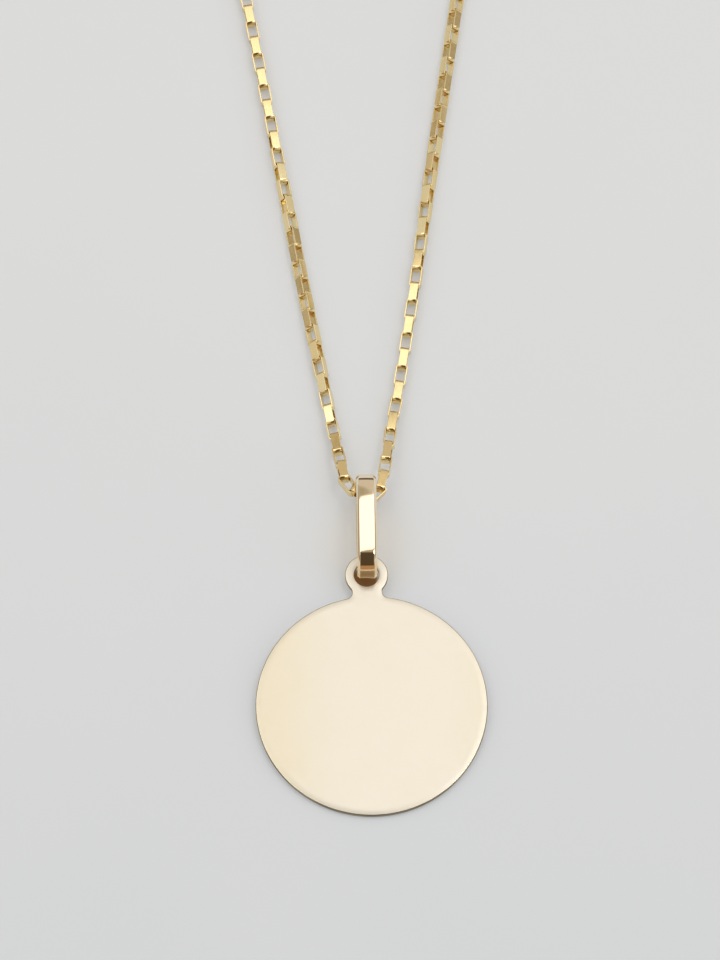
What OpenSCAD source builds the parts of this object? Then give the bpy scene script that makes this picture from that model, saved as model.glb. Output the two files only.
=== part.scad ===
// Disc pendant on a box chain, lying flat: a plain round disc with a pierced tab,
// a flat bail bent to a long loop, and a closed necklace of square-cut box links.
// Millimetres. The floor is z = 0, the chain's clasp lies towards +Y, the disc towards -Y.
// The origin is the middle of the bail's back face, on the floor.

/* [Disc] */
// diameter of the round plate
disc_d = 20; // [18:0.5:22]
// thickness of the plate and its tab
disc_t = 0.5; // [0.4:0.05:0.6]
// width of the bevel that breaks the disc's edges
disc_edge = 0.1; // [0.05:0.01:0.14]
// distance from the disc's rim out to the centre of the tab
tab_rise = 2; // [1.8:0.05:2.2]
// diameter of the round tab
tab_d = 3.74; // [3.5:0.02:4]
// diameter of the hole in the tab
hole_d = 2.2; // [2.18:0.02:2.4]
// radius of the hollow curves between tab and disc
neck_r = 0.6; // [0.5:0.05:0.7]
// turn of the disc about its hole
disc_turn = 1.2; // [0:0.1:2]

/* [Bail] */
// overall length of the bail's loop
bail_l = 9.6; // [9:0.1:10.5]
// overall height of the bail from back to front
bail_h = 4.3; // [4.2:0.05:4.8]
// thickness of the strap
bail_t = 0.5; // [0.45:0.01:0.52]
// width of the strap
bail_w = 1.75; // [1.6:0.05:1.9]
// width of the strap at the tip of the bend that holds the disc
bail_tip_w = 1.7; // [1.5:0.02:1.74]
// bevel along the strap's outer edges
bevel_out = 0.22; // [0.15:0.01:0.24]
// bevel along the strap's inner edges
bevel_in = 0.1; // [0.05:0.01:0.12]

/* [Chain] */
// distance from one link to the next
link_pitch = 1.63; // [1.55:0.01:1.7]
// outer height of a link's loop
link_d = 1.05; // [1.05:0.01:1.15]
// width of the strip that a link is bent from
link_w = 0.48; // [0.42:0.01:0.49]
// thickness of the strip
link_t = 0.15; // [0.12:0.01:0.15]
// play between two links that hook each other
link_gap = 0.11; // [0.11:0.005:0.14]
// links in each strand, the middle link not counted (odd)
strand_links = 119; // [111:2:119]
// lean of each arm of the chain away from the middle line
arm_lean = 9.2; // [8:0.1:11]
// turn of the whole loop about the bail
loop_turn = 0.36; // [0:0.02:1]

/* [Clasp] */
// outer diameter of the round clasp
clasp_d = 5.5; // [5:0.1:6]
// thickness of the clasp's round body
clasp_wire = 1.1; // [1:0.02:1.12]
// outer diameter of the clasp's lug
lug_d = 2.2; // [2.1:0.05:2.5]
// thickness of the lug's wire
lug_wire = 0.5; // [0.4:0.02:0.5]
// outer diameter of a jump ring
jump_d = 2.8; // [2.76:0.01:2.9]
// thickness of a jump ring's wire
jump_wire = 0.36; // [0.34:0.01:0.38]
// lean of the jump rings from upright
jump_lean = 15; // [10:1:16]

/* [Hidden] */
gold = [0.87, 0.72, 0.47];
chain_gold = [0.85, 0.68, 0.33];
round_steps = 96;
wire_steps = 24;
over = 1;

// The bail: half the straight length of its loop, and the radii of its two bends.
bail_r = bail_h / 2;
bail_half = bail_l / 2 - bail_r;
bail_inner = bail_r - bail_t;
taper_from = 1.5;

// The disc's seat: the tab rests on the inner curve of the bail's lower bend, the far rim on the floor.
seat_rise = 0.28;
seat_ahead = 0.7;
tab_reach = disc_d / 2 + tab_rise;
hole_x = -0.1;
hole_y = -bail_half - 1.45;
disc_tilt = asin((bail_t + seat_rise) / (tab_reach + disc_d / 2 + seat_ahead));
hole_z = (tab_reach + disc_d / 2 - disc_edge) * sin(disc_tilt);

// The neck: centres of the hollow curves, by the triangle of the three circles.
bite = 0.01;
neck_a = tab_d / 2 + neck_r - bite;
neck_b = disc_d / 2 + neck_r - bite;
neck_down = (pow(neck_a, 2) + pow(tab_reach, 2) - pow(neck_b, 2)) / (2 * tab_reach);
neck_side = sqrt(pow(neck_a, 2) - pow(neck_down, 2));
neck_steps = 10;

// A link: its loop is link_d high, its strip is link_t thick and link_w wide.
link_l = link_pitch + 2 * link_t + link_gap;
bar_off = link_l / 2 - link_t / 2;
corner = 0.25;
corner_mid = 0.08;

// Headings of the links near the bail, in degrees off their arm's own line, by link number.
base_right = 90 - arm_lean + loop_turn;
base_left = 90 + arm_lean + loop_turn;
turn_right = [[1, -36], [2, -3.7], [3, -0.6], [4, -0.5], [5, 0.6], [6, -1], [7, -2.8], [8, -0.7],
    [12, -0.4], [16, 0.3], [18, 0.8], [22, 0]];
turn_left = [[1, 24.4], [2, 0.1], [3, 1.8], [4, -0.7], [5, 0.9], [7, 0.6], [8, 0.4], [12, 0.6],
    [16, -0.2], [18, -0.3], [20, 0.4], [24, -0.4], [28, 0]];
// Height of the joints above their rest height, by joint number: the chain comes down from the bail to the floor.
end_rise = 0.62;
lift_right = [[1.5, 1.16], [2.5, 0.94], [3.5, 0.73], [4.5, 0.46], [5.5, 0.3], [6.5, 0.19], [7.5, 0.09], [8.5, 0]];
lift_left = [[1.5, 1.12], [2.5, 0.78], [3.5, 0.4], [4.5, 0.17], [5.5, 0.05], [6.5, 0.01], [8.5, 0]];
lift_end = [[-4, 0], [-3, 0.14], [-2, 0.36], [-1, 0.55], [0, end_rise]];
// Slack between the links, by joint number: the links near the bail lie loosely.
slack_right = [[2, 0], [3, 0.1], [6, 0.12], [8, 0]];
slack_left = [[2, 0], [3, 0.14], [5, 0.14], [8, 0.04], [12, 0]];
// Roll of the chain about its own line, by link number: flat, on edge, and back to flat at the clasp.
roll_right = [[0, 3.2], [1, -1.6], [2, -6.5], [3, -1.6], [4, 3.2], [5, 1.7], [6, -0.2], [8, -1.1], [10, 0],
    [14, 5], [18, 18], [24, 43], [28, 46], [60, 46], [80, 0]];
roll_left = [[0, 0], [1, -5.1], [2, -3.2], [3, 1.6], [8, 25.6], [13, 45], [16, 45], [25, 90], [60, 90], [90, 0]];

// The middle link passes through the bail.
mid_at = [-0.41, bail_l / 2 - 1.5, bail_t + 1.37];
mid_az = -27;
mid_el = -2;
mid_roll = 6;

// The loop's own frame, in which both strands end level with the clasp.
loop_at = [0.68, 3];
full_turn = 90 + arm_lean;
start_guess = 91;
start_guess_b = 89;
solve_rounds = 6;

// The clasp's line: offsets of its pieces from the last link of the left strand.
jump_r = (jump_d - jump_wire) / 2;
clasp_r = (clasp_d - clasp_wire) / 2;
lug_r = (lug_d - lug_wire) / 2;
lug_sink = 0.05;
bar_in_ring = 0.58;
lug_in_ring = 0.45;
body_in_ring = 0.18;
lug_to_body = lug_r * 2 + clasp_wire / 2 + clasp_r - lug_sink;
clasp_run = 2 * bar_in_ring + lug_in_ring + lug_to_body + clasp_r + body_in_ring;
clasp_z = jump_wire + clasp_wire / 2 + 0.15;
ring_z = jump_r * cos(jump_lean) + jump_wire / 2;
ring_shift = (ring_z - rest_z(0) - end_rise) * tan(jump_lean);

function unit(v) = v / norm(v);

// Direction of a link along the chain, and the direction across its loop.
function along(az, el) = [cos(az) * cos(el), sin(az) * cos(el), sin(el)];
function upward(az, el) = [-cos(az) * sin(el), -sin(az) * sin(el), cos(el)];
function sideways(az) = [sin(az), -cos(az), 0];
function across(az, el, roll) = upward(az, el) * cos(roll) - sideways(az) * sin(roll);

// Half the height of the rolled chain: its rest height above the floor.
function rest_z(roll) = max(link_d * abs(cos(roll)) + link_w * abs(sin(roll)),
    link_d * abs(sin(roll)) + link_w * abs(cos(roll))) / 2;

// A link is [centre, azimuth, elevation, roll].
function u_of(q) = along(q[1], q[2]);
function n_of(q) = across(q[1], q[2], q[3]);

// Step from one link's centre to the next: the two end bars cross, facing each other with play between.
function cross_line(a, b) = let (x = unit(cross(n_of(a), n_of(b)))) x * (u_of(a) + u_of(b)) < 0 ? -x : x;
function reach_of(q, x) = link_w / 2 * abs(cross(u_of(q), n_of(q)) * x) + link_t / 2 * abs(u_of(q) * x);
function step(a, b, slack) = let (x = cross_line(a, b))
    bar_off * (u_of(a) + u_of(b)) - (link_gap + slack + reach_of(a, x) + reach_of(b, x)) * x;

function pick(side, right, left) = side > 0 ? right : left;
function roll_at(side, k) = lookup(k, pick(side, roll_right, roll_left));
function lift_at(side, m) = lookup(m, pick(side, lift_right, lift_left)) + lookup(m - strand_links - 0.5, lift_end);
function joint_z(side, m) = rest_z(roll_at(side, m)) + lift_at(side, m);

// Heading of link k: the arm's line with its small wanderings, then an even curve round to the clasp.
function curve_part(k, from) = min(1, max(0, (k - from) / (strand_links - from)));
function heading(side, k, from) = pick(side, base_right + lookup(k, turn_right), base_left + lookup(k, turn_left))
    + side * full_turn * curve_part(k, from);

function first_link(side) = [mid_at, side > 0 ? mid_az : mid_az + 180, side * mid_el, side * mid_roll];
function next_link(q, k, side, from) =
    let (
        joint = q[0][2] + link_pitch / 2 * sin(q[2]),
        rise = (joint_z(side, k + 0.5) - joint) / link_pitch,
        b = [[0, 0, 0], heading(side, k, from), asin(rise), roll_at(side, k) + 90 * (k % 2)],
        slack = lookup(k - 0.5, pick(side, slack_right, slack_left))
    )
    [q[0] + step(q, b, slack), b[1], b[2], b[3]];
function strand(side, from) = [
    for (k = 0, q = first_link(side); k <= strand_links;
        q = k < strand_links ? next_link(q, k + 1, side, from) : q, k = k + 1) q];

// Place of the strand's last end bar, and how far it misses half the clasp's run.
function end_bar(links) = links[strand_links][0] + bar_off * u_of(links[strand_links]);
function miss(side, from) =
    let (p = end_bar(strand(side, from)))
    side * ((p[0] - loop_at[0]) * cos(loop_turn) + (p[1] - loop_at[1]) * sin(loop_turn)) - clasp_run / 2;
function closer(a, fa, b, fb) = abs(fb - fa) < 1e-9 ? b : b - fb * (b - a) / (fb - fa);
function solve(side, a, fa, b, fb, left) = left == 0 || abs(fb) < 1e-6 ? b :
    let (c = closer(a, fa, b, fb)) solve(side, b, fb, c, miss(side, c), left - 1);
function curve_start(side) = solve(side, start_guess, miss(side, start_guess),
    start_guess_b, miss(side, start_guess_b), solve_rounds);

right_links = strand(1, curve_start(1));
left_links = strand(-1, curve_start(-1));
right_end = end_bar(right_links);
left_end = end_bar(left_links);
clasp_mid = (right_end + left_end) / 2;
clasp_turn = atan2(right_end[1] - left_end[1], right_end[0] - left_end[0]);

// Disc

module disc_plate() {
    cylinder(d1 = disc_d - 2 * disc_edge, d2 = disc_d, h = disc_edge, $fn = round_steps);
    translate([0, 0, disc_edge])
        cylinder(d = disc_d, h = disc_t - 2 * disc_edge, $fn = round_steps);
    translate([0, 0, disc_t - disc_edge])
        cylinder(d1 = disc_d, d2 = disc_d - 2 * disc_edge, h = disc_edge, $fn = round_steps);
}

// One side of the neck's outline, from the tab down to the disc (s is 1 right, -1 left).
function to_tab(s) = atan2(neck_down, -s * neck_side);
function to_disc(s) = atan2(neck_down - tab_reach, -s * neck_side);
function neck_sweep(s) = let (d = to_disc(s) - to_tab(s)) d > 180 ? d - 360 : d < -180 ? d + 360 : d;
function neck_curve(s) = [
    for (i = [0:neck_steps]) let (a = to_tab(s) + neck_sweep(s) * i / neck_steps)
        [s * neck_side + neck_r * cos(a), -neck_down + neck_r * sin(a)]];
function flip(list) = [for (i = [len(list) - 1:-1:0]) list[i]];

module neck() {
    root = disc_d / 4;
    linear_extrude(disc_t)
        polygon(concat([[0, 0]], neck_curve(1), [[0, -tab_reach + root]], flip(neck_curve(-1))));
}

module disc_flat() {
    difference() {
        union() {
            translate([0, -tab_reach, 0])
                disc_plate();
            cylinder(d = tab_d, h = disc_t, $fn = round_steps);
            neck();
        }
        translate([0, 0, -over])
            cylinder(d = hole_d, h = disc_t + 2 * over, $fn = round_steps);
    }
}

module disc() {
    color(gold)
        translate([hole_x, hole_y, hole_z])
            rotate([disc_tilt, 0, 0])
                rotate([0, 0, disc_turn])
                    disc_flat();
}

// Bail

// Section of the strap: across its thickness from the inner face, and along its width.
module strap_section() {
    half = bail_w / 2;
    translate([bail_inner, 0])
        polygon([[0, -half + bevel_in], [bevel_in, -half], [bail_t - bevel_out, -half],
            [bail_t, -half + bevel_out], [bail_t, half - bevel_out], [bail_t - bevel_out, half],
            [bevel_in, half], [0, half - bevel_in]]);
}

module bail_bend() {
    translate([bail_half, 0, 0])
        rotate([0, 0, -90])
            rotate_extrude(angle = 180, $fn = round_steps)
                strap_section();
}

module bail_strap() {
    translate([-bail_half, 0, 0])
        rotate([90, 0, 90])
            linear_extrude(2 * bail_half)
                strap_section();
}

module bail_loop() {
    for (turn = [0, 180])
        rotate([0, 0, turn]) {
            bail_bend();
            bail_strap();
        }
}

module bail() {
    tip = bail_l / 2;
    color(gold)
        intersection() {
            translate([0, 0, bail_r])
                rotate([90, 0, 90])
                    bail_loop();
            translate([0, 0, -over])
                linear_extrude(bail_h + 2 * over)
                    polygon([[bail_w, tip + over], [-bail_w, tip + over], [-bail_w, -taper_from],
                        [-bail_w / 2, -taper_from], [-bail_tip_w / 2, -tip], [-bail_tip_w / 2, -tip - over],
                        [bail_tip_w / 2, -tip - over], [bail_tip_w / 2, -tip], [bail_w / 2, -taper_from],
                        [bail_w, -taper_from]]);
        }
}

// Chain

module link() {
    x = link_l / 2;
    y = link_d / 2;
    linear_extrude(link_w, center = true)
        polygon(
            points = [
                [x, y - corner], [x - corner_mid, y - corner_mid], [x - corner, y],
                [corner - x, y], [corner_mid - x, y - corner_mid], [-x, y - corner],
                [-x, corner - y], [corner_mid - x, corner_mid - y], [corner - x, -y],
                [x - corner, -y], [x - corner_mid, corner_mid - y], [x, corner - y],
                [x - link_t, y - link_t], [link_t - x, y - link_t],
                [link_t - x, link_t - y], [x - link_t, link_t - y]
            ],
            paths = [[0, 1, 2, 3, 4, 5, 6, 7, 8, 9, 10, 11], [12, 13, 14, 15]]
        );
}

module link_at(q) {
    u = u_of(q);
    n = n_of(q);
    s = cross(u, n);
    multmatrix([
        [u[0], n[0], s[0], q[0][0]],
        [u[1], n[1], s[1], q[0][1]],
        [u[2], n[2], s[2], q[0][2]],
        [0, 0, 0, 1]
    ])
        link();
}

module chain_left() {
    color(chain_gold)
        for (k = [1:strand_links])
            link_at(left_links[k]);
}

module chain_right() {
    color(chain_gold)
        for (k = [0:strand_links])
            link_at(right_links[k]);
}

// Clasp

// Frame of the clasp: x runs from the left strand's last bar to the right strand's.
module clasp_frame(run) {
    translate([clasp_mid[0], clasp_mid[1], 0])
        rotate([0, 0, clasp_turn])
            translate([run - clasp_run / 2, 0, 0])
                children();
}

module hoop(r, wire) {
    rotate_extrude($fn = round_steps)
        translate([r, 0])
            circle(d = wire, $fn = wire_steps);
}

module jump_ring(run) {
    color(chain_gold)
        clasp_frame(run)
            translate([0, ring_shift, ring_z])
                rotate([90 - jump_lean, 0, 0])
                    hoop(jump_r, jump_wire);
}

module ring_left() {
    jump_ring(bar_in_ring);
}

module ring_right() {
    jump_ring(clasp_run - bar_in_ring);
}

module clasp() {
    body = bar_in_ring + lug_in_ring + lug_to_body;
    color(chain_gold)
        clasp_frame(body)
            translate([0, 0, clasp_z]) {
                hoop(clasp_r, clasp_wire);
                translate([lug_r - lug_to_body, 0, 0])
                    hoop(lug_r, lug_wire);
            }
}

disc();
bail();
chain_left();
chain_right();
clasp();
ring_left();
ring_right();
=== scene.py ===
# %% [markdown]
# Disc pendant on a box chain
#
# A plain round disc of pale gold hangs by a pierced tab from a tall strap bail, and the bail runs on a chain
# of tiny square-cut links. Everything lies flat on a pale sheet, as it would if it had just been put down.
# The solids come packed, with every piece in its place. This lesson gives each of them its finished form
# and its metal, piece by piece.

import math

import bmesh
import bpy
import numpy as np
from mathutils import Matrix, Vector


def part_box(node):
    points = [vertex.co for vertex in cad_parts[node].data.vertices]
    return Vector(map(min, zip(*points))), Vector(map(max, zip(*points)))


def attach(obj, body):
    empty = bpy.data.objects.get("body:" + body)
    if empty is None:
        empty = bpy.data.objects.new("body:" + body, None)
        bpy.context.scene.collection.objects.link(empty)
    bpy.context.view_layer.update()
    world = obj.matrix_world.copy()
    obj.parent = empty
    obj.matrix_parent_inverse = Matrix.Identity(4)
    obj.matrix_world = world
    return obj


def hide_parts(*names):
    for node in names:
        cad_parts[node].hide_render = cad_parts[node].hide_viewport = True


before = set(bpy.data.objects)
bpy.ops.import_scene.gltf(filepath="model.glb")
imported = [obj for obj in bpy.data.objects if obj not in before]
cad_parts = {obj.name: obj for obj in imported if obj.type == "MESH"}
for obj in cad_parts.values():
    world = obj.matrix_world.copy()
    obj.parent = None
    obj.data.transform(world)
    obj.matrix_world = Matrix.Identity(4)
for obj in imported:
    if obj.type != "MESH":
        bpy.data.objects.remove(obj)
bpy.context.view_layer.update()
MM = 0.001
print("solids:", sorted(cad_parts))

# %% [markdown]
# The camera
#
# The picture looks down on the pendant from the disc's side, about 66 degrees above the table, with a long
# lens, so the disc stays almost a true ellipse. The camera is built from three plain facts: the point it
# looks at, the direction it looks from and its distance. A rotation matrix made from its right, up and back
# directions is clearer than three Euler angles, because each column can be read by itself.

# %% Camera
AIM = Vector((-0.52, 5.39, 0)) * MM
AZIMUTH, ELEVATION = math.radians(-0.88), math.radians(66.55)
DISTANCE = 0.5
LENS_MM = 213.55
SENSOR_MM = 36


def direction(azimuth, elevation):
    """Unit vector from the pendant towards a viewer at that azimuth and elevation."""
    flat = math.cos(elevation)
    return Vector((flat * math.sin(azimuth), -flat * math.cos(azimuth), math.sin(elevation)))


def add_camera():
    data = bpy.data.cameras.new("camera")
    data.lens = LENS_MM
    data.sensor_width = SENSOR_MM
    data.clip_start, data.clip_end = 0.01, 20
    back = direction(AZIMUTH, ELEVATION)
    right = (-back).cross(Vector((0, 0, 1))).normalized()
    up = right.cross(-back)
    camera = bpy.data.objects.new("camera", data)
    turn = Matrix((right, up, back)).transposed().to_4x4()
    camera.matrix_world = Matrix.Translation(AIM + back * DISTANCE) @ turn
    bpy.context.collection.objects.link(camera)
    bpy.context.scene.camera = camera
    return camera


camera = add_camera()
print("camera at", [round(c, 3) for c in camera.location], "lens", LENS_MM, "mm")

# %% [markdown]
# Small helpers for meshes
#
# Every piece is made the same way: a list of rings of points, joined ring to ring by quads. Polished metal
# shows each fault of a surface in its reflections, so flat faces must stay truly flat and edges must be
# softly rounded. Weighted normals do that: the large faces keep their own direction and only the narrow
# edge strips are shaded round.


# %% Mesh helpers
def mesh_object(name, points, faces):
    mesh = bpy.data.meshes.new(name)
    mesh.from_pydata([tuple(p) for p in points], [], [tuple(f) for f in faces])
    mesh.validate()
    made = bpy.data.objects.new(name, mesh)
    bpy.context.collection.objects.link(made)
    return made


def shade_metal(made):
    """Smooth shading that leaves the large faces flat."""
    for face in made.data.polygons:
        face.use_smooth = True
    weighted = made.modifiers.new("weighted", "WEIGHTED_NORMAL")
    weighted.mode = "FACE_AREA"
    weighted.weight = 70
    return made


def ring_quads(first, second, count):
    """Quads between two closed rings of count points that start at these indices."""
    return [(first + i, first + (i + 1) % count, second + (i + 1) % count, second + i) for i in range(count)]


def rounded(corners, radius, steps):
    """The outline through these corners, anticlockwise, with each corner turned into a short arc."""
    out = []
    count = len(corners)
    for i in range(count):
        before, here, after = (np.array(corners[(i + k) % count], float) for k in (-1, 0, 1))
        towards = (before - here) / np.linalg.norm(before - here)
        onwards = (after - here) / np.linalg.norm(after - here)
        half = math.acos(np.clip(towards @ onwards, -1, 1)) / 2
        back = radius / math.tan(half)
        centre = here + (towards + onwards) / np.linalg.norm(towards + onwards) * radius / math.sin(half)
        start, end = here + towards * back - centre, here + onwards * back - centre
        sweep = math.atan2(start[0] * end[1] - start[1] * end[0], start @ end)
        for k in range(steps + 1):
            a = sweep * k / steps
            turn = np.array([[math.cos(a), -math.sin(a)], [math.sin(a), math.cos(a)]])
            out.append(centre + turn @ start)
    return out


print("helpers ready")

# %% [markdown]
# Metal
#
# Polished gold has no colour of its own in shadow: it shows its surroundings, tinted. So the shader is
# plain, a full metal with a pale base colour, and the life comes from three things that hands and cloths
# leave on it: a very slow unevenness that bends the reflections, faint hairlines that run one way, and
# patches that are a little less polished. Each is a noise texture in object space at the scale it has on
# the real thing, fed into roughness and bump. The bail's lower bend is painted a deeper gold than its face:
# a painted reflection of the warm light that the tab and disc throw onto it.


# %% Metal shader
def new_material(name):
    material = bpy.data.materials.new(name)
    material.use_nodes = True
    nodes = material.node_tree.nodes
    nodes.clear()
    out = nodes.new("ShaderNodeOutputMaterial")
    shader = nodes.new("ShaderNodeBsdfPrincipled")
    material.node_tree.links.new(shader.outputs["BSDF"], out.inputs["Surface"])
    return material, shader


def add_noise(material, per_mm, detail=2, stretch=(1, 1, 1)):
    """Noise with that many cells to the millimetre, stretched along the object's axes."""
    nodes, links = material.node_tree.nodes, material.node_tree.links
    place = nodes.new("ShaderNodeTexCoord")
    scale = nodes.new("ShaderNodeMapping")
    scale.inputs["Scale"].default_value = [s / MM for s in stretch]
    noise = nodes.new("ShaderNodeTexNoise")
    noise.inputs["Scale"].default_value = per_mm
    noise.inputs["Detail"].default_value = detail
    links.new(place.outputs["Object"], scale.inputs["Vector"])
    links.new(scale.outputs["Vector"], noise.inputs["Vector"])
    return noise.outputs["Fac"]


def add_range(material, value, low, high, to_low, to_high):
    """Maps value from low..high to to_low..to_high."""
    node = material.node_tree.nodes.new("ShaderNodeMapRange")
    for name, number in (("From Min", low), ("From Max", high), ("To Min", to_low), ("To Max", to_high)):
        node.inputs[name].default_value = number
    material.node_tree.links.new(value, node.inputs["Value"])
    return node.outputs["Result"]


def add_tint(material, value, colour_a, colour_b):
    """Blends two colours, plain ones or sockets, by value, which runs from 0 to 1."""
    nodes, links = material.node_tree.nodes, material.node_tree.links
    mix = nodes.new("ShaderNodeMix")
    mix.data_type = "RGBA"
    for name, colour in (("A", colour_a), ("B", colour_b)):
        if isinstance(colour, tuple):
            mix.inputs[name].default_value = (*colour, 1)
        else:
            links.new(colour, mix.inputs[name])
    links.new(value, mix.inputs["Factor"])
    return mix.outputs["Result"]


def add_math(material, operation, *values):
    """One step of arithmetic on sockets or plain numbers."""
    node = material.node_tree.nodes.new("ShaderNodeMath")
    node.operation = operation
    for socket, value in zip(node.inputs, values):
        if isinstance(value, (int, float)):
            socket.default_value = value
        else:
            material.node_tree.links.new(value, socket)
    return node.outputs["Value"]


def add_slope(material, value, low, high):
    """Smooth step from 0 at low to 1 at high; with low above high it runs the other way."""
    node = material.node_tree.nodes.new("ShaderNodeMapRange")
    node.interpolation_type = "SMOOTHSTEP"
    node.inputs["From Min"].default_value = min(low, high)
    node.inputs["From Max"].default_value = max(low, high)
    if low > high:
        node.inputs["To Min"].default_value, node.inputs["To Max"].default_value = 1, 0
    material.node_tree.links.new(value, node.inputs["Value"])
    return node.outputs["Result"]


def add_place(material):
    """The place on the object in millimetres, as x, y and z."""
    nodes, links = material.node_tree.nodes, material.node_tree.links
    place = nodes.new("ShaderNodeTexCoord")
    scale = nodes.new("ShaderNodeVectorMath")
    scale.operation = "SCALE"
    scale.inputs["Scale"].default_value = 1 / MM
    split = nodes.new("ShaderNodeSeparateXYZ")
    links.new(place.outputs["Object"], scale.inputs["Vector"])
    links.new(scale.outputs["Vector"], split.inputs["Vector"])
    return split.outputs


def add_bump(material, heights):
    """Chains bumps of (height value, depth in mm) into one normal."""
    nodes, links = material.node_tree.nodes, material.node_tree.links
    normal = None
    for height, depth in heights:
        bump = nodes.new("ShaderNodeBump")
        bump.inputs["Strength"].default_value = 1
        bump.inputs["Distance"].default_value = depth * MM
        links.new(height, bump.inputs["Height"])
        if normal is not None:
            links.new(normal, bump.inputs["Normal"])
        normal = bump.outputs["Normal"]
    return normal


def polished_gold(name, pale, deep, smooth, worn, wave_mm, hairline, deepness=None):
    """Gold that goes from pale to deep, by noise or by deepness, and from smooth to worn."""
    material, shader = new_material(name)
    links = material.node_tree.links
    if deepness:
        drift = deepness(material)
    else:
        drift = add_range(material, add_noise(material, 0.35, 1), 0.35, 0.65, 0, 1)
    links.new(add_tint(material, drift, pale, deep), shader.inputs["Base Color"])
    shader.inputs["Metallic"].default_value = 1
    wear = add_noise(material, 2.2, 4)
    links.new(add_range(material, wear, 0.35, 0.75, smooth, worn), shader.inputs["Roughness"])
    slow = add_noise(material, 0.45, 1)
    lines = add_noise(material, 30, 2, (0.04, 1, 1))
    links.new(add_bump(material, [(slow, wave_mm), (lines, hairline)]), shader.inputs["Normal"])
    return material


def bend_painted_warmth(material):
    """0 on most of the bail, 1 on its lower bend."""
    # The deeper gold on the lower bend is a painted reflection of the warm light from the tab and disc.
    return add_slope(material, add_place(material)[1], -3.6, -4.4)


bail_gold = polished_gold(
    "bail_gold", (0.95, 0.83, 0.64), (0.97, 0.76, 0.46), 0.05, 0.10, 0.004, 0.00010, bend_painted_warmth
)
chain_gold = polished_gold("chain_gold", (0.90, 0.75, 0.43), (0.88, 0.70, 0.37), 0.14, 0.22, 0.003, 0.00015)
print("metals:", bail_gold.name, chain_gold.name)

# %% [markdown]
# The disc has three finishes. Its face is satin, palest in the middle, with a deeper yellow towards the left
# rim and a little of it at the right: painted shade, where the face mirrors dimmer parts of the room. The
# narrow round along its edge was buffed last and is as bright as the bail. The side of the sheet is painted
# dull and brown: painted shade, for the shadowed sheet that it mirrors at the foot of the plate. From above
# it shows as a fine dark line round the plate, broadest at the bottom. A material slot for each finish lets
# one mesh carry all three.


# %% Disc finishes
def painted_side_shade(material):
    """0 on the pale middle of the disc, 1 at its left rim, with a slow drift over it."""
    # Painted shade: deeper yellow at the left rim and a little at the right, for dimmer parts of the room
    # that the face mirrors; the drift is random tone.
    x = add_place(material)[0]
    left = add_slope(material, x, -1, -11)
    right = add_math(material, "MULTIPLY", add_slope(material, x, 6, 11), 0.5)
    drift = add_range(material, add_noise(material, 0.3, 2), 0.3, 0.7, -0.08, 0.12)
    return add_math(material, "ADD", add_math(material, "ADD", left, right), drift)


disc_satin = polished_gold(
    "disc_satin", (0.785, 0.745, 0.665), (0.765, 0.70, 0.558), 0.42, 0.47, 0.004, 0.00012, painted_side_shade
)
disc_rim = polished_gold("disc_rim", (0.95, 0.82, 0.60), (0.94, 0.79, 0.55), 0.10, 0.16, 0.002, 0.00010)
# The side wall's dull brown is painted shade: it stands in for the shadowed sheet that the wall mirrors.
disc_side_painted_shade = polished_gold("disc_side_painted_shade", (0.32, 0.28, 0.19), (0.25, 0.21, 0.13), 0.28, 0.38, 0.002, 0.00030)
print("disc finishes:", disc_satin.name, disc_rim.name, disc_side_painted_shade.name)

# %% [markdown]
# The disc
#
# The real disc is stamped from sheet half a millimetre thick: a round plate, a round tab with a hole, and
# two small hollow curves where they meet. A jeweller breaks the cut edge with a stone and a buff, so a
# narrow round runs all the way along it and round the hole. The buff also drags the front face down a few
# hundredths of a millimetre just inside the edge, and this soft shoulder is what catches the lamp as a white
# gleam at the lower right. In Blender the outline is one chain of four kinds of arc, and the plate is that
# outline at several heights, drawn in a little at the top and bottom.

# %% Disc sizes
DISC_R, TAB_R, HOLE_R, NECK_R = 10.0, 1.87, 1.1, 0.6
DISC_T, DISC_EDGE, HOLE_EDGE = 0.5, 0.1, 0.03
SHOULDER_W, SHOULDER_DROP, SHOULDER_RINGS = 0.52, 0.052, 7
SATIN_ABOVE, RIM_ABOVE = 0.97, 0.9
DISC_STEPS, TAB_STEPS, NECK_STEPS = 300, 96, 14
TAB_REACH = DISC_R + 2.0
DISC_TURN = math.radians(1.2)
BAIL_BACK_T = 0.5
SEAT_RISE, SEAT_AHEAD = 0.28, 0.7
HOLE_X, HOLE_Y = -0.1, -4.1
DISC_TILT = math.asin((BAIL_BACK_T + SEAT_RISE) / (TAB_REACH + DISC_R + SEAT_AHEAD))
HOLE_Z = (TAB_REACH + DISC_R - DISC_EDGE) * math.sin(DISC_TILT)

reach_tab, reach_disc = TAB_R + NECK_R, DISC_R + NECK_R
NECK_DOWN = (reach_tab**2 + TAB_REACH**2 - reach_disc**2) / (2 * TAB_REACH)
NECK_SIDE = math.sqrt(reach_tab**2 - NECK_DOWN**2)
print("tilt of the disc:", round(math.degrees(DISC_TILT), 2), "degrees; hole at z", round(HOLE_Z, 2), "mm")


# %% Disc outline
def arc(centre, radius, start, end, count):
    """Points along an arc, the last one left out; angles in radians, either way round."""
    angles = [start + (end - start) * i / count for i in range(count)]
    return [(centre[0] + radius * math.cos(a), centre[1] + radius * math.sin(a)) for a in angles]


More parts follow.
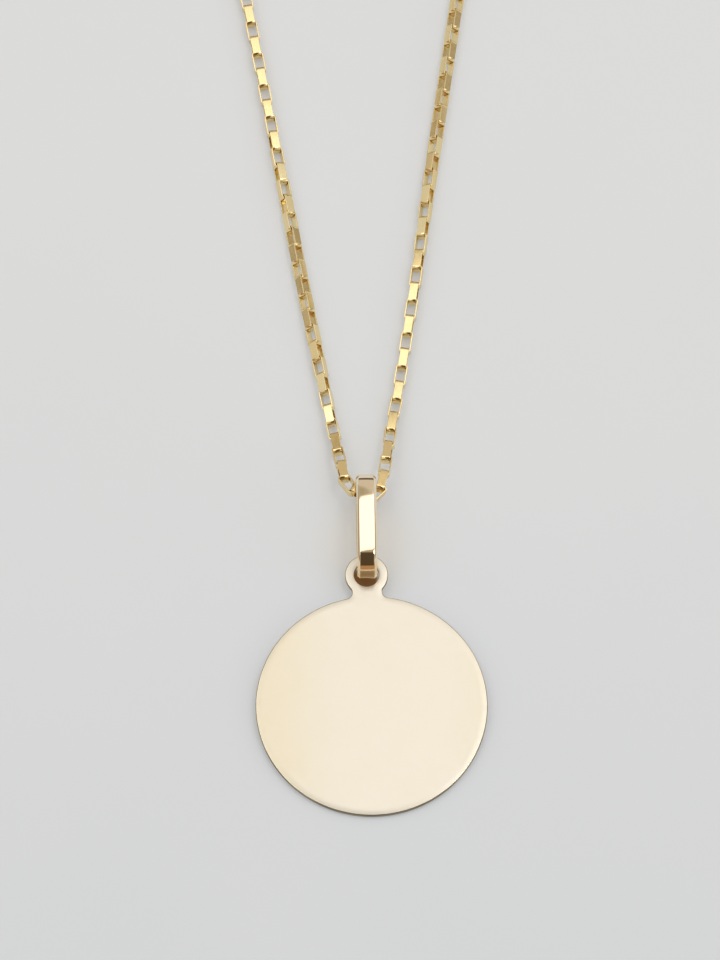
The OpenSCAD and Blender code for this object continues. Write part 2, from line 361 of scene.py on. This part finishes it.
def disc_outline(inset):
    """The plate's outline drawn in by inset, anticlockwise, about the hole's centre."""
    at_tab = math.atan2(-NECK_DOWN, NECK_SIDE)
    at_disc = math.atan2(TAB_REACH - NECK_DOWN, NECK_SIDE)
    middle, neck = (0, -TAB_REACH), NECK_R + inset
    hollow = [(NECK_SIDE, -NECK_DOWN), (-NECK_SIDE, -NECK_DOWN)]
    return (
        arc(middle, DISC_R - inset, math.pi - at_disc, 2 * math.pi + at_disc, DISC_STEPS)
        + arc(hollow[0], neck, math.pi + at_disc, math.pi + at_tab, NECK_STEPS)
        + arc((0, 0), TAB_R - inset, at_tab, math.pi - at_tab, TAB_STEPS)
        + arc(hollow[1], neck, -at_tab, -at_disc, NECK_STEPS)
    )


def hole_outline(inset):
    return arc((0, 0), HOLE_R + inset, 0, 2 * math.pi, TAB_STEPS)


print("points round the disc:", len(disc_outline(0)))


# %% Disc mesh
def edge_profile(thickness, radius, steps, shoulder_w=0, shoulder_drop=0):
    """(inset, height) pairs from the back face over a rounded edge and a soft shoulder to the front face."""
    turns = [math.pi / 2 * i / steps for i in range(steps + 1)]
    low = [(radius * (1 - math.sin(a)), radius * (1 - math.cos(a))) for a in turns]
    high = [(inset, thickness - shoulder_drop - height) for inset, height in reversed(low)]
    if not shoulder_w:
        return low + high
    shares = [i / SHOULDER_RINGS for i in range(1, SHOULDER_RINGS + 1)]
    return low + high + [(radius + shoulder_w * s, thickness - shoulder_drop * (1 - s) ** 2) for s in shares]


def wall(points, faces, outline, profile):
    """Adds one wall to points and faces, and returns the first index of its lowest and highest ring."""
    count = len(outline(0))
    first = len(points)
    for inset, height in profile:
        points += [(x, y, height) for x, y in outline(inset)]
    for ring in range(len(profile) - 1):
        faces += ring_quads(first + ring * count, first + (ring + 1) * count, count)
    return first, len(points) - count, count


def fill_plate(made, loops):
    """Fills the plate between its outer and inner loop of edges, on each face."""
    bm = bmesh.new()
    bm.from_mesh(made.data)
    bm.verts.ensure_lookup_table()
    for rings in loops:
        edges = []
        for first, count in rings:
            for i in range(count):
                pair = (bm.verts[first + i], bm.verts[first + (i + 1) % count])
                edges.append(bm.edges.get(pair))
        bmesh.ops.triangle_fill(bm, use_beauty=True, use_dissolve=False, edges=edges)
    bmesh.ops.recalc_face_normals(bm, faces=bm.faces)
    bm.to_mesh(made.data)
    bm.free()


def make_disc():
    points, faces = [], []
    profile = edge_profile(DISC_T, DISC_EDGE, 7, SHOULDER_W, SHOULDER_DROP)
    low, high, count = wall(points, faces, disc_outline, profile)
    hole_low, hole_high, hole_count = wall(points, faces, hole_outline, edge_profile(DISC_T, HOLE_EDGE, 3))
    place = (
        Matrix.Translation((HOLE_X * MM, HOLE_Y * MM, HOLE_Z * MM))
        @ Matrix.Rotation(DISC_TILT, 4, "X")
        @ Matrix.Rotation(DISC_TURN, 4, "Z")
        @ Matrix.Scale(MM, 4)
    )
    made = mesh_object("disc_plate", points, faces)
    fill_plate(made, [[(low, count), (hole_low, hole_count)], [(high, count), (hole_high, hole_count)]])
    made.data.materials.append(disc_satin)
    made.data.materials.append(disc_rim)
    made.data.materials.append(disc_side_painted_shade)
    for face in made.data.polygons:
        upright = abs(face.normal.z)
        face.material_index = 0 if upright > SATIN_ABOVE else 1 if upright > RIM_ABOVE else 2
    made.data.transform(place)
    return shade_metal(made)


disc_plate = make_disc()
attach(disc_plate, "root")
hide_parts("disc")
print("disc faces:", len(disc_plate.data.polygons))

# %% [markdown]
# The bail
#
# The bail is one flat strap bent to a tall loop and soldered shut, so it has the same section all round:
# broad bevels along its outer edges, small ones inside. Real straps are never dead straight. The two long
# sides bow out slightly, which is why the white reflection fades at both ends instead of filling the whole
# face. The loop is therefore drawn as an oval of four arcs: two long flat ones and two round ends. Three
# small things make it look handmade. The front is crowned by two hundredths of a millimetre, the corners are
# softened by the polishing cloth, and the loop leans a degree, so that its foot lies a hair to the left.

# %% Bail sizes
bail_low, bail_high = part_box("bail")
BAIL_L = (bail_high.y - bail_low.y) / MM
BAIL_H = (bail_high.z - bail_low.z) / MM
BAIL_W = (bail_high.x - bail_low.x) / MM
BAIL_T, BEVEL_OUT, BEVEL_IN = 0.5, 0.22, 0.1
BAIL_TIP_W, TAPER_FROM = 1.7, -1.5
CROWN, CORNER = 0.022, 0.05
BOW, BOW_STEPS, BEND_STEPS = math.radians(8), 16, 40
LEAN = math.radians(1.2)

bow_gain = (1 - math.sin(BOW)) / math.cos(BOW)
BOW_R = (BAIL_L / 2 - BAIL_H / 2 * bow_gain) / (math.sin(BOW) - bow_gain * (1 - math.cos(BOW)))
END_R = (BAIL_H / 2 - BOW_R * (1 - math.cos(BOW))) / math.cos(BOW)
print("bail in mm:", round(BAIL_L, 2), "x", round(BAIL_W, 2), "x", round(BAIL_H, 2))
print("its arcs in mm:", round(BOW_R, 1), "and", round(END_R, 2))


# %% Bail mesh
def bail_path():
    """(y, z, outward y, outward z) round the loop, in mm, starting at the middle of the front."""
    half = [i / BOW_STEPS * BOW for i in range(BOW_STEPS)]
    bend = [BOW + i / BEND_STEPS * (math.pi / 2 - BOW) for i in range(BEND_STEPS + 1)]
    quarter = [(BOW_R * math.sin(a), BAIL_H / 2 - BOW_R * (1 - math.cos(a)), a) for a in half]
    quarter += [(BAIL_L / 2 - END_R * (1 - math.sin(a)), END_R * math.cos(a), a) for a in bend]
    quarter = [(y, z, math.sin(a), math.cos(a)) for y, z, a in quarter]
    down = [(y, -z, ny, -nz) for y, z, ny, nz in reversed(quarter[:-1])]
    right_half = quarter + down
    left_half = [(-y, z, -ny, nz) for y, z, ny, nz in reversed(right_half[1:-1])]
    return [(y, z + BAIL_H / 2, ny, nz) for y, z, ny, nz in right_half + left_half]


def strap_section(half):
    """Section of the strap: (depth below the outer face, place along its width), softly rounded."""
    flat = half - BEVEL_OUT
    crown = [(CROWN * (share**2 - 1), flat * share) for share in (-0.75, -0.5, -0.25, 0, 0.25, 0.5, 0.75)]
    corners = [(BAIL_T, -half + BEVEL_IN), (BAIL_T - BEVEL_IN, -half), (BEVEL_OUT, -half), (0, -flat)]
    corners += crown + [(0, flat), (BEVEL_OUT, half), (BAIL_T - BEVEL_IN, half), (BAIL_T, half - BEVEL_IN)]
    return rounded(corners[::-1], CORNER, 3)


def half_width(y):
    share = max(0.0, (TAPER_FROM - y) / (TAPER_FROM + BAIL_L / 2))
    return (BAIL_W + (BAIL_TIP_W - BAIL_W) * share) / 2


def make_bail():
    points, faces = [], []
    path = bail_path()
    count = len(strap_section(BAIL_W / 2))
    for y, z, ny, nz in path:
        for depth, across in strap_section(half_width(y)):
            points.append((across * MM, (y - ny * depth) * MM, (z - nz * depth) * MM))
    for i in range(len(path)):
        faces += ring_quads(i * count, (i + 1) % len(path) * count, count)
    top = Matrix.Translation((0, 0, BAIL_H * MM))
    lift = Matrix.Translation((0, 0, BAIL_W / 2 * math.sin(LEAN) * MM))
    lean = lift @ top @ Matrix.Rotation(LEAN, 4, "Y") @ top.inverted()
    made = mesh_object("bail_strap", [lean @ Vector(p) for p in points], faces)
    made.data.materials.append(bail_gold)
    return shade_metal(made)


bail_strap = make_bail()
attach(bail_strap, "root")
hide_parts("bail")
print("bail faces:", len(bail_strap.data.polygons))

# %% [markdown]
# The chain
#
# Each link of a box chain is a strip of sheet bent into a small square-cornered loop, and each passes
# through the next at a right angle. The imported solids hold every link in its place, so this step only asks
# where each one is. Loose parts are found by joining the triangles that share a corner. The three main
# directions of a part's corner points are then its length, its height and its width, because those three
# sizes differ. A finely made link is set down in each place. Its strip is a little broader than the packed
# one, so a link that lies on its corner is raised until it only touches the sheet.

# %% Link sizes
LINK_L, LINK_D, LINK_W, LINK_T = 2.10, 1.03, 0.72, 0.12
LINK_BEND_R = 0.32
LINK_SOFT = 0.02


# %% One link
def link_mesh():
    """Points and quads of one link: x along the chain, y the loop's height, z the strip's width."""
    corners = [(i * LINK_L / 2, k * LINK_D / 2) for i, k in ((1, 1), (-1, 1), (-1, -1), (1, -1))]
    steps = 5
    outer = rounded(corners, LINK_BEND_R, steps)
    section = rounded(
        [(0, -LINK_W / 2), (LINK_T, -LINK_W / 2), (LINK_T, LINK_W / 2), (0, LINK_W / 2)], LINK_SOFT, 2
    )
    points, faces = [], []
    for i, (x, y) in enumerate(outer):
        quadrant = corners[i // (steps + 1)]
        centre = np.array([q - math.copysign(LINK_BEND_R, q) for q in quadrant])
        inward = (centre - np.array([x, y])) / LINK_BEND_R
        points += [(x + inward[0] * depth, y + inward[1] * depth, across) for depth, across in section]
    count = len(section)
    bent = []
    for i in range(len(outer)):
        faces += ring_quads(i * count, (i + 1) % len(outer) * count, count)
        bent += [i % (steps + 1) != steps] * count
    return np.array(points), faces, bent


link_points, link_faces, link_bent = link_mesh()
print("faces in a link:", len(link_faces), "of which bent:", sum(link_bent))


# %% Finding the links
def loose_parts(made):
    """The corner points of each separate part of a mesh."""
    count = len(made.data.vertices)
    flat = np.empty(count * 3)
    made.data.vertices.foreach_get("co", flat)
    places, same = np.unique(np.round(flat.reshape(-1, 3), 7), axis=0, return_inverse=True)
    same = same.reshape(-1)
    parent = list(range(len(places)))

    def root(i):
        while parent[i] != i:
            parent[i] = parent[parent[i]]
            i = parent[i]
        return i

    for edge in made.data.edges:
        a, b = (root(int(same[v])) for v in edge.vertices)
        parent[a] = b
    groups = {}
    for i in range(len(places)):
        groups.setdefault(root(i), []).append(places[i])
    return [np.array(g) for g in groups.values()]


def link_place(corner_points):
    """Centre of a link, and its length, height and width directions as columns."""
    centre = corner_points.mean(axis=0)
    spread = (corner_points - centre).T @ (corner_points - centre)
    axes = np.linalg.eigh(spread)[1][:, ::-1]
    if np.linalg.det(axes) < 0:
        axes[:, 2] *= -1
    return centre, axes


def make_strand(name, node):
    points, faces = [], []
    parts = loose_parts(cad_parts[node])
    for part in parts:
        centre, axes = link_place(part)
        placed = link_points * MM @ axes.T + centre
        placed[:, 2] -= min(0.0, placed[:, 2].min())
        faces += [tuple(len(points) + i for i in face) for face in link_faces]
        points += list(placed)
    made = mesh_object(name, points, faces)
    made.data.materials.append(chain_gold)
    shade_metal(made)
    for face, bent in zip(made.data.polygons, link_bent * len(parts)):
        face.use_smooth = bent
    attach(made, "root")
    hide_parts(node)
    print(name, "links:", len(parts), "faces:", len(faces))
    return made


strands = [make_strand("links_left", "chain_left"), make_strand("links_right", "chain_right")]

# %% [markdown]
# The clasp and its jump rings
#
# Behind the neck the chain closes with a round spring ring: a tube bent to a circle, with a small lug ring
# soldered to it. A jump ring at each side joins it to the last link of a strand. They are plain turned
# forms, so a circle swept round a circle is all that they need.


# %% Clasp sizes
def centre_of(node):
    low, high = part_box(node)
    return (low + high) / 2


def points_of(node):
    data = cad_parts[node].data
    return np.array([v.co for v in data.vertices])


CLASP_WIRE, CLASP_D, LUG_WIRE, LUG_D = 1.1, 5.5, 0.5, 2.2
LUG_SINK = 0.05
JUMP_D, JUMP_WIRE = 2.8, 0.36
print("clasp centre:", [round(c / MM, 2) for c in centre_of("clasp")])


# %% Clasp meshes
def hoop(ring_r, wire_r, ring_steps=120, wire_steps=28):
    """Points and quads of a ring of round wire about z."""
    points, faces = [], []
    for i in range(ring_steps):
        a = 2 * math.pi * i / ring_steps
        for k in range(wire_steps):
            b = 2 * math.pi * k / wire_steps
            r = ring_r + wire_r * math.cos(b)
            points.append((r * math.cos(a), r * math.sin(a), wire_r * math.sin(b)))
        faces += ring_quads(i * wire_steps, (i + 1) % ring_steps * wire_steps, wire_steps)
    return np.array(points), faces


def plane_of(points):
    """Centre and axes of a flat ring: its two long directions and then its normal."""
    centre = (points.min(axis=0) + points.max(axis=0)) / 2
    spread = (points - centre).T @ (points - centre)
    axes = np.linalg.eigh(spread)[1][:, ::-1]
    if np.linalg.det(axes) < 0:
        axes[:, 1] *= -1
    return centre, axes


def ring_piece(name, shapes, nodes):
    """Joins hoops that are already in place into one piece."""
    points, faces = [], []
    for shape_points, shape_faces in shapes:
        faces += [tuple(len(points) + i for i in face) for face in shape_faces]
        points += list(shape_points)
    made = mesh_object(name, points, faces)
    made.data.materials.append(chain_gold)
    for face in made.data.polygons:
        face.use_smooth = True
    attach(made, "root")
    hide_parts(*nodes)
    return made


def make_jump_ring(node):
    centre, axes = plane_of(points_of(node))
    points, faces = hoop((JUMP_D - JUMP_WIRE) / 2 * MM, JUMP_WIRE / 2 * MM, 96, 20)
    return ring_piece(node.replace("ring", "jump_ring"), [(points @ axes.T + centre, faces)], [node])


def make_clasp():
    """The body lies flat; its lug points from the body's centre towards the left jump ring."""
    middle = centre_of("clasp")
    to_left = centre_of("ring_left") - centre_of("ring_right")
    to_left = Vector((to_left.x, to_left.y, 0)).normalized()
    body_r, lug_r = (CLASP_D - CLASP_WIRE) / 2, (LUG_D - LUG_WIRE) / 2
    low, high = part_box("clasp")
    height = (low.z + high.z) / 2
    overall = 2 * body_r + CLASP_WIRE + 2 * lug_r + LUG_WIRE / 2 - LUG_SINK
    body = Vector((middle.x, middle.y, height)) - to_left * (overall / 2 - body_r - CLASP_WIRE / 2) * MM
    lug = body + to_left * (body_r + CLASP_WIRE / 2 + lug_r - LUG_SINK) * MM
    body_points, body_faces = hoop(body_r * MM, CLASP_WIRE / 2 * MM, 160, 40)
    lug_points, lug_faces = hoop(lug_r * MM, LUG_WIRE / 2 * MM, 96, 24)
    shapes = [(body_points + np.array(body), body_faces), (lug_points + np.array(lug), lug_faces)]
    return ring_piece("clasp_ring", shapes, ["clasp"])


clasp_ring = make_clasp()
jump_rings = [make_jump_ring(node) for node in ("ring_left", "ring_right")]
print("rings:", clasp_ring.name, [r.name for r in jump_rings])

# %% [markdown]
# The table
#
# The pendant lies on a smooth pale sheet. It is nearly white with no visible weave: only a very soft
# mottling, and painted shade greys it a little towards the viewer. Around real gold the shadows are weak,
# because the metal throws back as much light as it takes, warm and from all sides. The renderer leaves that
# light out. So a part of the sheet's brightness is painted light: the sheet glows in its own colour, and that
# part isn't shaded. Round the bail a painted warm glow tints the sheet, and in the small pit under the tab's
# hole, where the light goes to and fro between gold and sheet, painted shade gives it a deep brown tone.


# %% Floor
def add_distance(material, x, y, spot):
    """Distance on the sheet from a spot, in mm."""
    across, along = (add_math(material, "SUBTRACT", value, at) for value, at in zip((x, y), spot))
    squares = (add_math(material, "POWER", value, 2) for value in (across, along))
    return add_math(material, "SQRT", add_math(material, "ADD", *squares))


def make_floor():
    reach = 3.0
    corners = [(i * reach, k * reach, 0) for i, k in ((-1, -1), (1, -1), (1, 1), (-1, 1))]
    made = mesh_object("floor", corners, [(0, 1, 2, 3)])
    material, shader = new_material("pale_sheet")
    links = material.node_tree.links
    x, y, z = add_place(material)
    mottle = add_range(material, add_noise(material, 0.03, 3), 0.3, 0.7, -0.12, 0.12)
    # Painted shade: the sheet is darker towards the viewer; the mottle is random tone.
    nearer = add_math(material, "ADD", add_slope(material, y, 40, -60), mottle)
    sheet = add_tint(material, nearer, (0.566, 0.585, 0.610), (0.524, 0.550, 0.580))
    # Painted light: a warm tint round the bail, for the light the gold throws onto the sheet.
    glow = add_slope(material, add_distance(material, x, y, (0, -1)), 6, 1.5)
    sheet = add_tint(material, add_math(material, "MULTIPLY", glow, 0.6), sheet, (0.570, 0.552, 0.515))
    # Painted shade: a deep brown patch in the pit under the tab's hole, shadowed and warmed by gold bounce
    # light.
    pit = add_slope(material, add_distance(material, x, y, (-0.35, -4.2)), 1.55, 1.0)
    sheet = add_tint(material, pit, sheet, (0.19, 0.088, 0.028))
    links.new(sheet, shader.inputs["Base Color"])
    # The sheet glows in its own colour: painted light in place of the light the gold throws back, so shadows
    # stay weak.
    links.new(sheet, shader.inputs["Emission Color"])
    shader.inputs["Emission Strength"].default_value = 0.405
    shader.inputs["Roughness"].default_value = 0.75
    grain = add_noise(material, 4, 3)
    links.new(add_bump(material, [(grain, 0.004)]), shader.inputs["Normal"])
    made.data.materials.append(material)
    return made


floor = make_floor()
print("floor:", floor.name)

# %% [markdown]
# The light
#
# Polished gold is only as good as the room that it mirrors. A broad softbox hangs beyond the chain, almost
# overhead: every flat face that looks straight up mirrors it. A small bright lamp hangs to the right of it
# and puts the white gleam on the disc's lower right shoulder. A low window at the right gives soft shadows
# to the left, and a white card at the left throws some light back into them. The viewer's own side of the
# room is dark, and the bail's lower bend shows it; further down the bend mirrors the tan of a wooden table
# edge. The walls are a warm grey, and both sides are pale. The room is a world shader that only asks which
# way a ray points. The four lights are area lights.


# %% Room
def make_room():
    world = bpy.data.worlds.new("room")
    bpy.context.scene.world = world
    world.use_nodes = True
    nodes, links = world.node_tree.nodes, world.node_tree.links
    nodes.clear()
    out = nodes.new("ShaderNodeOutputWorld")
    glow = nodes.new("ShaderNodeBackground")
    place = nodes.new("ShaderNodeTexCoord")
    split = nodes.new("ShaderNodeSeparateXYZ")
    links.new(place.outputs["Generated"], split.inputs["Vector"])
    x, y, z = split.outputs
    aside = add_math(world, "ABSOLUTE", x)
    # The wall beyond the chain and the ceiling meet at a slightly slanting edge.
    edge = add_math(world, "SUBTRACT", z, add_math(world, "MULTIPLY_ADD", x, 0.17, 0.786))
    walls = add_tint(world, add_slope(world, edge, -0.012, 0.012), (0.64, 0.57, 0.48), (0.42, 0.36, 0.25))
    # The low corners of the room are dimmer.
    corners = add_math(world, "MULTIPLY", add_slope(world, aside, 0.5, 0.7), add_slope(world, z, 0.3, 0.1))
    walls = add_tint(world, corners, walls, (0.40, 0.35, 0.28))
    # A dark band runs along the foot of the wall straight ahead.
    band = add_math(world, "MULTIPLY", add_slope(world, z, 0.28, 0.23), add_slope(world, z, -0.02, 0.02))
    ahead = add_math(world, "MULTIPLY", add_slope(world, y, 0.6, 0.7), band)
    room = add_tint(world, ahead, walls, (0.13, 0.10, 0.07))
    # Both side walls are pale.
    sides = add_math(world, "MULTIPLY", add_slope(world, aside, 0.34, 0.5), add_slope(world, z, 0.24, 0.44))
    room = add_tint(world, sides, room, (0.74, 0.73, 0.70))
    # The viewer's side is nearly black, with the tan table edge low down.
    near = add_math(world, "MULTIPLY", add_slope(world, y, 0.10, -0.04), add_slope(world, aside, 0.30, 0.20))
    room = add_tint(world, near, room, (0.085, 0.060, 0.035))
    low = add_math(world, "MULTIPLY", add_slope(world, y, 0.10, -0.04), add_slope(world, z, 0.42, 0.34))
    low = add_math(world, "MULTIPLY", low, add_slope(world, x, 0.5, 0.3))
    room = add_tint(world, low, room, (0.42, 0.26, 0.15))
    links.new(room, glow.inputs["Color"])
    links.new(glow.outputs["Background"], out.inputs["Surface"])
    return world


room = make_room()
print("room:", room.name)


# %% Softbox, window, lamp and card
def add_panel(name, towards, distance, width, height, turn, radiance):
    """An area light that faces the pendant; radiance is what a mirror would show of it."""
    data = bpy.data.lights.new(name, "AREA")
    data.shape = "RECTANGLE"
    data.size, data.size_y = width, height
    data.energy = radiance * math.pi * width * height
    made = bpy.data.objects.new(name, data)
    made.location = towards.normalized() * distance
    made.rotation_mode = "QUATERNION"
    made.rotation_quaternion = towards.to_track_quat("Z", "Y") @ Matrix.Rotation(turn, 3, "Z").to_quaternion()
    bpy.context.collection.objects.link(made)
    return made


def sky_direction(zenith_deg, side_deg):
    """Unit vector that leans zenith degrees from straight up towards +Y, turned side degrees to +X."""
    z, s = math.radians(zenith_deg), math.radians(side_deg)
    return Vector((math.sin(z) * math.sin(s), math.sin(z) * math.cos(s), math.cos(z)))


softbox = add_panel("softbox", sky_direction(20, 0), 1.0, 1.5, 0.48, math.radians(8), 1.05)
window = add_panel("window", sky_direction(70, 112), 1.2, 0.5, 0.22, 0, 1.4)
lamp = add_panel("lamp", sky_direction(20, 90), 1.0, 0.24, 0.24, 0, 5.2)
card = add_panel("card", sky_direction(22, -95), 1.0, 0.3, 0.3, 0, 1.5)
for panel in (softbox, window, lamp, card):
    print(panel.name, "at", [round(c, 2) for c in panel.location])

# %% [markdown]
# Colour
#
# The view transform is the plain one, so a white that is measured in the light is a white in the picture.

# %% Finish
bpy.context.scene.view_settings.view_transform = "Standard"
bpy.context.scene.view_settings.look = "None"
